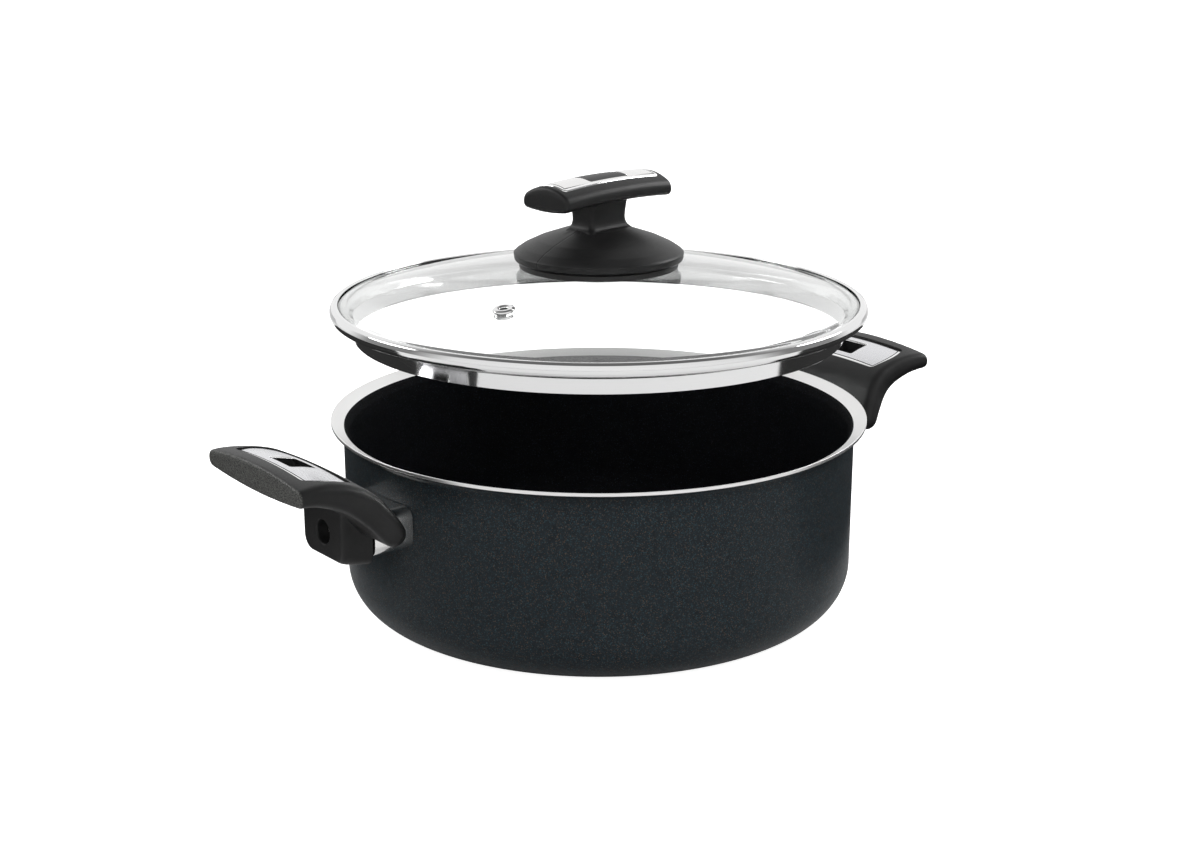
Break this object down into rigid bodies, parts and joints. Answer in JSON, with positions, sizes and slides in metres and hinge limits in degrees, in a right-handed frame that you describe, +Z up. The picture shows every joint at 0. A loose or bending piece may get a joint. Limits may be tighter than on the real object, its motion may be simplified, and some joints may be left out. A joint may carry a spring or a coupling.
{
  "type": "casserole",
  "caption": "Low wide cooking pot with a side handle at each end, a flared rim, and a domed glass lid with a steel band, steam vent and bar-shaped knob that lifts off.",
  "frame": {"origin": "on the pot's axis at the underside of its base", "axes": "+Z up along the pot's axis; +X out through the right handle, so the two handles lie along X"},
  "size_m": [0.378, 0.2588, 0.2101],
  "materials": {
    "dark_lacquer": "fine speckled satin coating, bare ground metal on the flared rim",
    "bare_aluminium": "turned, plain",
    "polished_steel": "mirror polished",
    "satin_steel": "satin face with a polished bevel",
    "phenolic": "fine-grained matt moulding",
    "silicone": "matt black seal",
    "insert_brass": "machined",
    "lid_glass": "clear tempered glass"
  },
  "bodies": {
    "pot": {"pot_body": "dark_lacquer", "base_disc": "bare_aluminium", "weld_stud_right": "bare_aluminium", "flame_guard_right": "polished_steel", "handle_grip_right": "phenolic", "handle_plate_right": "satin_steel", "screw_washer_right": "polished_steel", "handle_screw_right": "polished_steel", "weld_stud_left": "bare_aluminium", "flame_guard_left": "polished_steel", "handle_grip_left": "phenolic", "handle_plate_left": "satin_steel", "screw_washer_left": "polished_steel", "handle_screw_left": "polished_steel"},
    "lid": {"lid_glass": "lid_glass", "lid_band": "polished_steel", "vent_eyelet": "polished_steel", "vent_seal": "silicone", "knob_gasket": "silicone", "knob_body": "phenolic", "knob_plate": "satin_steel", "knob_insert": "insert_brass", "knob_seal": "silicone", "knob_washer": "polished_steel", "knob_screw": "polished_steel"}
  },
  "joints": [
    {"name": "lid_lift", "type": "slide", "parent": "pot", "child": "lid", "axis": [0, 0, 1], "range_m": [-0.051, 0.1]}
  ]
}
